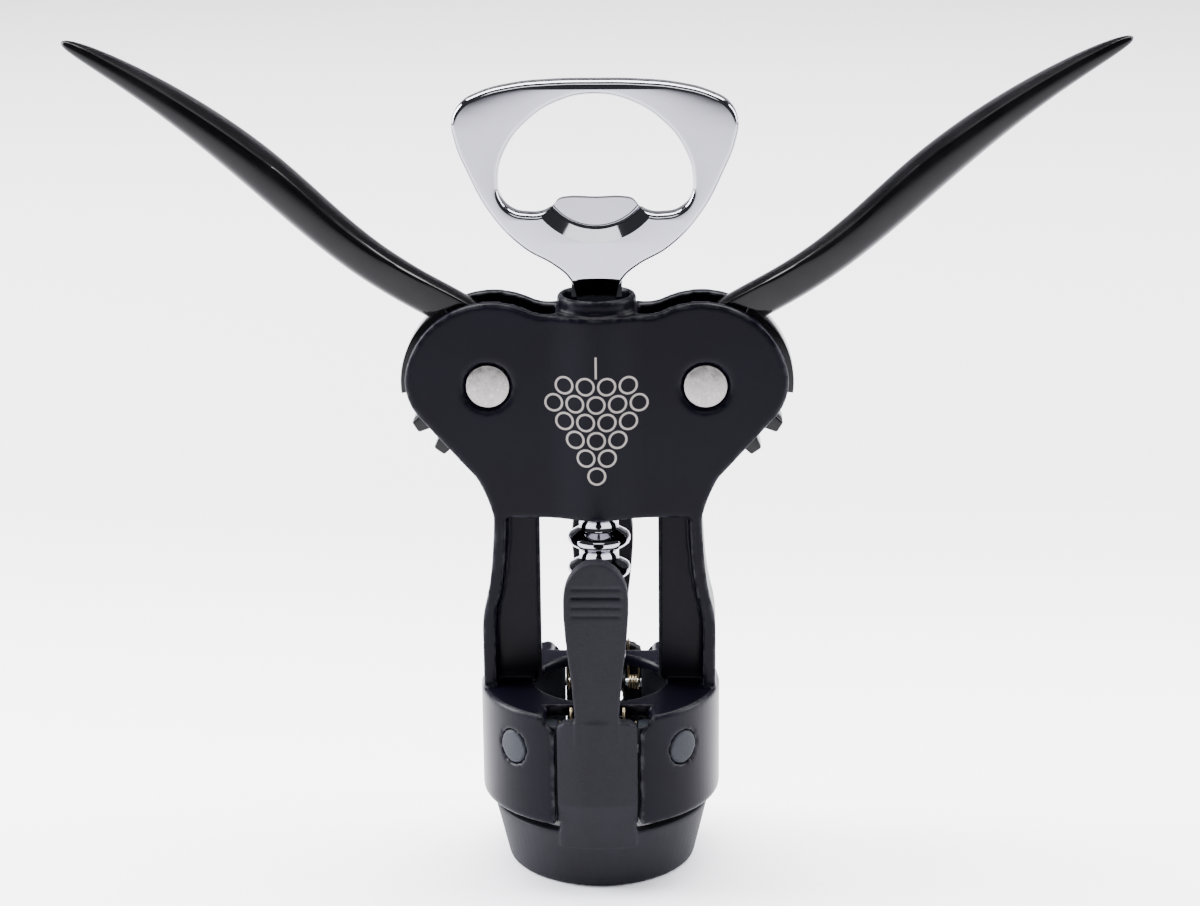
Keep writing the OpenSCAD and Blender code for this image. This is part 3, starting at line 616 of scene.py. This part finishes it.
HANDLE_OUTLINE = [
    (0, 38.25), (8, 38.1), (14.6, 37.45), (20.4, 35.9), (23.6, 34.0), (25.05, 31.2), (24.6, 27.3), (22.8, 22.6), (18.4, 14.3), (12.8, 8.4),
    (7.4, 5.2), (4.9, 3.0), (3.75, 0.6), (3.45, -2.4), (3.3, -5.5), (3.3, -9.3, "VECTOR"), (2.9, -9.7, "VECTOR"), (0, -9.7, "VECTOR"),
]
LIFTER_OUTLINE = [
    (0, 35.8), (6.2, 34.6), (11.9, 31.0), (15.8, 25.9), (17.15, 20.6), (16.6, 17.2), (14.7, 15.2), (11.9, 14.55), (9.4, 14.75), (7.6, 15.8),
    (6.5, 16.95), (5.5, 17.25), (0, 17.25, "VECTOR"),
]


class CORKSCREW_OT_handle(bpy.types.Operator):
    """Chrome handle with the cap lifter"""

    bl_idname = "corkscrew.handle"
    bl_label = "Handle"

    def execute(self, context):
        sizes = context.scene.corkscrew_sizes
        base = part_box("handle")[1].z / MM - 38.25
        loops = [[(x, z + base, *kind) for x, z, *kind in mirrored(loop)] for loop in (HANDLE_OUTLINE, LIFTER_OUTLINE)]
        plate = as_mesh(flat_curve("handle_plate", loops, 4.2, sizes.handle_edge), "handle_plate")
        cutters, grooves, reach, eye = bmesh.new(), bmesh.new(), 1.0, base + 21.9
        for face in (-1, 1):
            cone = bmesh.new()
            flare = 2.8 / sizes.tongue_depth * reach
            bmesh.ops.create_cone(cone, cap_ends=True, segments=192, radius1=9.6 * MM, radius2=(12.4 + flare) * MM,
                                  depth=(sizes.tongue_depth + reach) * MM)
            turn = Matrix.Rotation(math.radians(-90 * face), 4, "X")
            centre = mm(0, face * (2.1 - sizes.tongue_depth / 2 + reach / 2), eye)
            bmesh.ops.transform(cone, matrix=Matrix.Translation(centre) @ turn, verts=cone.verts)
            cut = bmesh.ops.bisect_plane(cone, geom=cone.verts[:] + cone.edges[:] + cone.faces[:], plane_co=mm(0, 0, base + 18.6),
                                         plane_no=(0, 0, 1), clear_outer=True)["geom_cut"]
            bmesh.ops.edgeloop_fill(cone, edges=[e for e in cut if isinstance(e, bmesh.types.BMEdge)])
            bmesh.ops.recalc_face_normals(cone, faces=cone.faces)
            join(cutters, cone)
            bead = [(9.85 + 0.45 * math.cos(i * math.tau / 16), 0.45 * math.sin(i * math.tau / 16)) for i in range(16)]
            join(grooves, lathe(bead, 128, (0, 1, 0), mm(0, face * (2.1 - sizes.tongue_depth), eye)))
            ramp = bmesh.new()
            bmesh.ops.create_cube(ramp, size=1)
            bmesh.ops.scale(ramp, vec=mm(9, 2, 4.6), verts=ramp.verts)
            bmesh.ops.rotate(ramp, verts=ramp.verts, cent=(0, 0, 0), matrix=Matrix.Rotation(math.radians(-17 * face), 3, "X"))
            bmesh.ops.translate(ramp, vec=mm(0, face * 2.45, base + 0.9), verts=ramp.verts)
            join(cutters, ramp)
        tools = [bpy.data.objects.new("cutter", as_mesh(bm, "cutter")) for bm in (cutters, grooves)]
        for tool in tools:
            context.scene.collection.objects.link(tool)
        mesh = settled(plate, *[("BOOLEAN", {"operation": "DIFFERENCE", "object": tool, "solver": "EXACT"}) for tool in tools])
        for tool in tools:
            bpy.data.objects.remove(tool)
        piece("handle_finish", mesh, chrome(context.scene.corkscrew_looks), "screw", "chrome", "handle", sharp=20)
        return {"FINISHED"}


class CORKSCREW_OT_screw(bpy.types.Operator):
    """Worm, spindle, washers and handle pin"""

    bl_idname = "corkscrew.screw"
    bl_label = "Screw"

    def execute(self, context):
        looks = context.scene.corkscrew_looks
        bright = chrome(looks)
        brass = plain_metal("plain_brass", (0.72, 0.58, 0.33), 0.28, 0.3)
        steel = plain_metal("ground_steel", (0.6, 0.6, 0.6), 0.25, 0.2)
        worm = settled(as_mesh(merged("worm"), "worm_finish"), ("SUBSURF", {"levels": 1, "render_levels": 1}))
        piece("worm_finish", worm, bright, "screw", "chrome", "worm", sharp=60)
        piece("spindle_finish", turned("spindle", 0.12), bright, "screw", "chrome", "spindle")
        for node in ("upper_washer", "lower_washer"):
            piece(node + "_finish", turned(node, 0.12), brass, "screw", "washer_brass", node)
        piece("handle_pin_finish", turned("handle_pin", 0.1), steel, "screw", "pin_steel", "handle_pin")
        return {"FINISHED"}


class CORKSCREW_OT_clamp(bpy.types.Operator):
    """Jaws, carriers, jaw pins and springs of the bottle clamp"""

    bl_idname = "corkscrew.clamp"
    bl_label = "Bottle clamp"

    def execute(self, context):
        looks, sizes = context.scene.corkscrew_looks, context.scene.corkscrew_sizes
        dark = nylon("jaw_nylon", looks.jaw_colour, 0.58)
        pale = nylon("peg_nylon", looks.peg_colour, 0.5)
        steel = plain_metal("pin_steel_rod", (0.6, 0.6, 0.6), 0.25, 0.2)
        carrier_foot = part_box("jaw_carrier_left")[0].z
        wire = plain_metal("bronze_wire", (0.3, 0.24, 0.15), 0.3, 0.15)
        for side in ("front", "rear"):
            jaw = cast("jaw_" + side, sizes.mould_grid, 2)
            for vert in jaw.vertices:
                if abs(vert.co.x) > 6.5 * MM and abs(vert.co.y) > 16 * MM and vert.co.z > carrier_foot:
                    vert.co.x += math.copysign(0.34 * MM, vert.co.x)
            piece(f"jaw_{side}_finish", jaw, dark, "jaw_" + side, "jaw_plastic", "jaw_" + side, sharp=180)
            piece(f"jaw_pin_{side}_finish", turned("jaw_pin_" + side, 0.1), steel, "frame", "pin_steel", "jaw_pin_" + side)
            for hand in ("left", "right"):
                node = f"jaw_spring_{side}_{hand}"
                coil = settled(as_mesh(merged(node), node + "_finish"), ("SUBSURF", {"levels": 1, "render_levels": 1}))
                low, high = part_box(node)
                inner, outer = sorted((low, high), key=lambda corner: abs(corner.x))
                twist = ("frame", "jaw_" + side, outer.lerp(inner, 0.15), outer.lerp(inner, 0.75))
                piece(node + "_finish", coil, wire, twist, "spring_wire", node, sharp=70)
        for hand in ("left", "right"):
            node = "jaw_carrier_" + hand
            piece(node + "_finish", cast(node, 0.35, 1), pale, "frame", "carrier_plastic", node, sharp=180)
        return {"FINISHED"}


class CORKSCREW_OT_stage(bpy.types.Operator):
    """Backdrop, lights and camera"""

    bl_idname = "corkscrew.stage"
    bl_label = "Stage"

    def lamp(self, name, place, aim, size, power, tint=(1, 1, 1)):
        light = bpy.data.lights.new(name, "AREA")
        light.shape, light.size, light.size_y = "RECTANGLE", size[0], size[1]
        light.energy, light.color = power, tint
        obj = bpy.data.objects.new(name, light)
        obj.location = place
        obj.rotation_euler = (Vector(aim) - Vector(place)).to_track_quat("-Z", "Y").to_euler()
        bpy.context.scene.collection.objects.link(obj)

    def execute(self, context):
        scene = context.scene
        bm = bmesh.new()
        row = [bm.edges.new([bm.verts.new((-2.6, -2.4, 0)), bm.verts.new((2.6, -2.4, 0))])]
        for step in (Vector((0, 5.2, 0)), Vector((0, 0, 1.0))):
            new = bmesh.ops.extrude_edge_only(bm, edges=row)["geom"]
            verts = [v for v in new if isinstance(v, bmesh.types.BMVert)]
            row = [e for e in new if isinstance(e, bmesh.types.BMEdge) and all(v in verts for v in e.verts)]
            bmesh.ops.translate(bm, vec=step, verts=verts)
        corner = [e for e in bm.edges if len(e.link_faces) == 2]
        bmesh.ops.bevel(bm, geom=corner, offset=0.5, offset_type="OFFSET", affect="EDGES", segments=32, profile=0.5, material=-1)
        bmesh.ops.recalc_face_normals(bm, faces=bm.faces)
        mesh = as_mesh(bm, "backdrop")
        floor = bpy.data.objects.new("backdrop", mesh)
        scene.collection.objects.link(floor)
        mesh.materials.append(studio_surface(scene.corkscrew_looks))
        mesh.shade_smooth()
        scene.world = world = bpy.data.worlds.new("studio")
        world.use_nodes = True
        nodes, links = world.node_tree.nodes, world.node_tree.links
        around = nodes["Background"]
        around.inputs[0].default_value = (0.9, 0.93, 1.0, 1)
        shown, path, mix = nodes.new("ShaderNodeBackground"), nodes.new("ShaderNodeLightPath"), nodes.new("ShaderNodeMixShader")
        around.inputs[1].default_value, shown.inputs[1].default_value = 0.1, 1.4
        links.new(path.outputs["Is Camera Ray"], mix.inputs[0])
        links.new(around.outputs[0], mix.inputs[1])
        links.new(shown.outputs[0], mix.inputs[2])
        links.new(mix.outputs[0], nodes["World Output"].inputs[0])
        white, cool = (1, 1, 1), (0.94, 0.96, 1)
        self.lamp("top_softbox", (0, 0.45, 1.25), (0, 0.2, 0), (1.9, 1.1), 140, white)
        self.lamp("front_softbox", (0, -1.15, 0.85), (0, 0, 0.08), (0.9, 0.35), 5, white)
        self.lamp("left_softbox", (-0.95, 0.1, 0.4), (0, 0, 0.08), (0.5, 0.7), 50, cool)
        self.lamp("right_softbox", (0.95, 0.1, 0.4), (0, 0, 0.08), (0.5, 0.7), 24, cool)
        camera = bpy.data.cameras.new("camera")
        camera.lens, camera.sensor_width = 86.65, 36
        obj = bpy.data.objects.new("camera", camera)
        right, up, forward = Vector((0.99945, 0.03174, -0.00971)), Vector((0.00004, 0.29135, 0.95662)), Vector((-0.03319, 0.95609, -0.29119))
        turn = Matrix((right, up, -forward)).transposed().to_4x4()
        obj.matrix_world = Matrix.Translation(mm(17.675, -499.687, 230.074)) @ turn
        scene.collection.objects.link(obj)
        scene.camera = obj
        return {"FINISHED"}


class CORKSCREW_PT_panel(bpy.types.Panel):
    """Lists the corkscrew's pieces"""

    bl_idname = "CORKSCREW_PT_panel"
    bl_label = "Lever corkscrew"
    bl_space_type = "VIEW_3D"
    bl_region_type = "UI"
    bl_category = "Corkscrew"

    def draw(self, context):
        for group in (context.scene.corkscrew_sizes, context.scene.corkscrew_looks):
            box = self.layout.box()
            for name in group.__annotations__:
                box.prop(group, name)
        for operator in OPERATORS:
            self.layout.operator(operator.bl_idname)


OPERATORS = [
    CORKSCREW_OT_frame, CORKSCREW_OT_rivets, CORKSCREW_OT_wings, CORKSCREW_OT_rack, CORKSCREW_OT_handle, CORKSCREW_OT_screw,
    CORKSCREW_OT_clamp, CORKSCREW_OT_stage,
]
CLASSES = [Looks, Sizes, *OPERATORS, CORKSCREW_PT_panel]


def register():
    for cls in CLASSES:
        bpy.utils.register_class(cls)
    bpy.types.Scene.corkscrew_looks = PointerProperty(type=Looks)
    bpy.types.Scene.corkscrew_sizes = PointerProperty(type=Sizes)


def unregister():
    del bpy.types.Scene.corkscrew_looks, bpy.types.Scene.corkscrew_sizes
    for cls in reversed(CLASSES):
        bpy.utils.unregister_class(cls)


def main():
    register()
    for operator in OPERATORS:
        group, name = operator.bl_idname.split(".")
        getattr(getattr(bpy.ops, group), name)()


if __name__ == "__main__":
    main()
